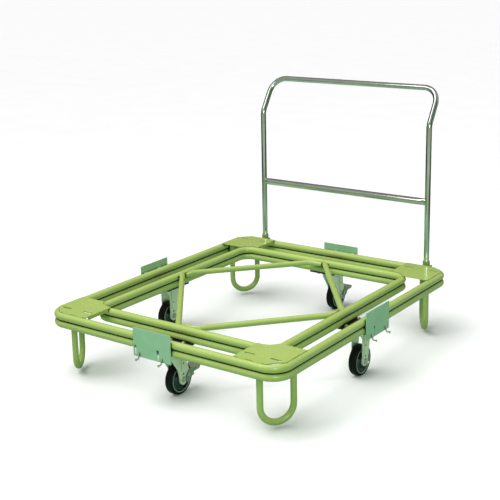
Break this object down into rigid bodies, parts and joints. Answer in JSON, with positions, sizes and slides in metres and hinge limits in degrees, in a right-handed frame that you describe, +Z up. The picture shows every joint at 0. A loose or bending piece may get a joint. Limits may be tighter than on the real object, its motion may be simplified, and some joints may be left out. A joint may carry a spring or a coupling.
{
  "type": "platform cart",
  "caption": "Open ring-framed platform cart with U-shaped stacking feet, link plates with hooks, braked swivel and fixed casters, and a lift-out push handle.",
  "frame": {"origin": "on the floor, at the centre of the whole cart's bounding box", "axes": "+Z up, +Y from the front of the cart towards the push handle, +X to the right when looking along +Y; the frame is 1000 mm along X and 1200 mm along Y"},
  "size_m": [1.054, 1.3362, 0.943],
  "materials": {
    "frame_paint": "glossy light yellow-green enamel, slightly uneven over the tubes",
    "link_zinc": "blue-green chromate over pressed sheet, satin",
    "fork_zinc": "pale olive zinc plating on pressed steel",
    "mount_black": "dark grey painted plate",
    "socket_dark": "yellow-green enamel on the socket tube, duller than the rings",
    "handle_chrome": "bright chrome-plated tube",
    "fastener_zinc": "zinc-plated fasteners and bearing steel",
    "hub_steel": "dark metallic pressed wheel disc",
    "tyre": "black rubber, slight sheen"
  },
  "bodies": {
    "frame": {"outer_ring_upper": "frame_paint", "outer_ring_lower": "frame_paint", "inner_ring_upper": "frame_paint", "inner_ring_lower": "frame_paint", "corner_plate_front_left": "frame_paint", "corner_plate_front_right": "frame_paint", "corner_plate_back_left": "frame_paint", "corner_plate_back_right": "frame_paint", "foot_front_left": "frame_paint", "foot_front_right": "frame_paint", "foot_back_left": "frame_paint", "foot_back_right": "frame_paint", "brace_pair_bent": "frame_paint", "brace_pair_straight": "frame_paint", "link_plate_front": "link_zinc", "link_plate_right": "link_zinc", "link_plate_back": "link_zinc", "link_plate_left": "link_zinc", "caster_mounts_side": "mount_black", "caster_mounts_end": "mount_black", "caster_bolts": "fastener_zinc", "rigid_fork_left": "fork_zinc", "rigid_fork_right": "fork_zinc", "rigid_axles": "fastener_zinc", "swivel_plates": "fork_zinc", "kingpins": "fastener_zinc", "handle_sockets": "socket_dark", "socket_screws": "fastener_zinc"},
    "handle": {"handle_tube": "handle_chrome", "handle_crossbar": "handle_chrome"},
    "left_wheel": {"left_tyre": "tyre", "left_hub": "hub_steel", "left_bearing": "frame_paint"},
    "right_wheel": {"right_tyre": "tyre", "right_hub": "hub_steel", "right_bearing": "frame_paint"},
    "front_swivel": {"front_fork": "fork_zinc", "front_ball_race": "fastener_zinc", "front_fork_fasteners": "fastener_zinc"},
    "front_wheel": {"front_tyre": "tyre", "front_hub": "hub_steel", "front_bearing": "frame_paint"},
    "front_pedal": {"front_brake_pedal": "fork_zinc"},
    "back_swivel": {"back_fork": "fork_zinc", "back_ball_race": "fastener_zinc", "back_fork_fasteners": "fastener_zinc"},
    "back_wheel": {"back_tyre": "tyre", "back_hub": "hub_steel", "back_bearing": "frame_paint"},
    "back_pedal": {"back_brake_pedal": "fork_zinc"},
    "front_hook_a": {"hook_front_a": "fastener_zinc"},
    "front_hook_b": {"hook_front_b": "fastener_zinc"},
    "right_hook_a": {"hook_right_a": "fastener_zinc"},
    "right_hook_b": {"hook_right_b": "fastener_zinc"},
    "back_hook_a": {"hook_back_a": "fastener_zinc"},
    "back_hook_b": {"hook_back_b": "fastener_zinc"},
    "left_hook_a": {"hook_left_a": "fastener_zinc"},
    "left_hook_b": {"hook_left_b": "fastener_zinc"}
  },
  "joints": [
    {"name": "handle_lift", "type": "slide", "parent": "frame", "child": "handle", "axis": [0, 0, 1], "range_m": [0, 0.075]},
    {"name": "left_wheel_spin", "type": "hinge", "parent": "frame", "child": "left_wheel", "pos_m": [-0.4353, -0.04113, 0.056], "axis": [1, 0, 0], "continuous": true},
    {"name": "right_wheel_spin", "type": "hinge", "parent": "frame", "child": "right_wheel", "pos_m": [0.4353, -0.04113, 0.056], "axis": [1, 0, 0], "continuous": true},
    {"name": "front_swivel_turn", "type": "hinge", "parent": "frame", "child": "front_swivel", "pos_m": [0, -0.56193, 0.17], "axis": [0, 0, 1], "continuous": true},
    {"name": "front_wheel_spin", "type": "hinge", "parent": "front_swivel", "child": "front_wheel", "pos_m": [0, -0.51693, 0.056], "axis": [1, 0, 0], "continuous": true},
    {"name": "front_brake_press", "type": "hinge", "parent": "front_swivel", "child": "front_pedal", "pos_m": [0, -0.49393, 0.066], "axis": [-1, 0, 0], "range_deg": [0, 11]},
    {"name": "back_swivel_turn", "type": "hinge", "parent": "frame", "child": "back_swivel", "pos_m": [0, 0.47967, 0.17], "axis": [0, 0, 1], "continuous": true},
    {"name": "back_wheel_spin", "type": "hinge", "parent": "back_swivel", "child": "back_wheel", "pos_m": [0, 0.52467, 0.056], "axis": [1, 0, 0], "continuous": true},
    {"name": "back_brake_press", "type": "hinge", "parent": "back_swivel", "child": "back_pedal", "pos_m": [0, 0.54767, 0.066], "axis": [-1, 0, 0], "range_deg": [0, 11]},
    {"name": "front_hook_a_swing", "type": "hinge", "parent": "frame", "child": "front_hook_a", "pos_m": [-0.054, -0.64653, 0.1794], "axis": [0, -1, 0], "range_deg": [-100, 100]},
    {"name": "front_hook_b_swing", "type": "hinge", "parent": "frame", "child": "front_hook_b", "pos_m": [0.043, -0.64653, 0.1794], "axis": [0, -1, 0], "range_deg": [-100, 100]},
    {"name": "right_hook_a_swing", "type": "hinge", "parent": "frame", "child": "right_hook_a", "pos_m": [0.5054, 0.01087, 0.1794], "axis": [1, 0, 0], "range_deg": [-100, 100]},
    {"name": "right_hook_b_swing", "type": "hinge", "parent": "frame", "child": "right_hook_b", "pos_m": [0.5054, -0.08613, 0.1794], "axis": [1, 0, 0], "range_deg": [-100, 100]},
    {"name": "back_hook_a_swing", "type": "hinge", "parent": "frame", "child": "back_hook_a", "pos_m": [-0.052, 0.56427, 0.1794], "axis": [0, 1, 0], "range_deg": [-100, 100]},
    {"name": "back_hook_b_swing", "type": "hinge", "parent": "frame", "child": "back_hook_b", "pos_m": [0.045, 0.56427, 0.1794], "axis": [0, 1, 0], "range_deg": [-100, 100]},
    {"name": "left_hook_a_swing", "type": "hinge", "parent": "frame", "child": "left_hook_a", "pos_m": [-0.5054, 0.01287, 0.1794], "axis": [-1, 0, 0], "range_deg": [-100, 100]},
    {"name": "left_hook_b_swing", "type": "hinge", "parent": "frame", "child": "left_hook_b", "pos_m": [-0.5054, -0.08413, 0.1794], "axis": [-1, 0, 0], "range_deg": [-100, 100]}
  ]
}
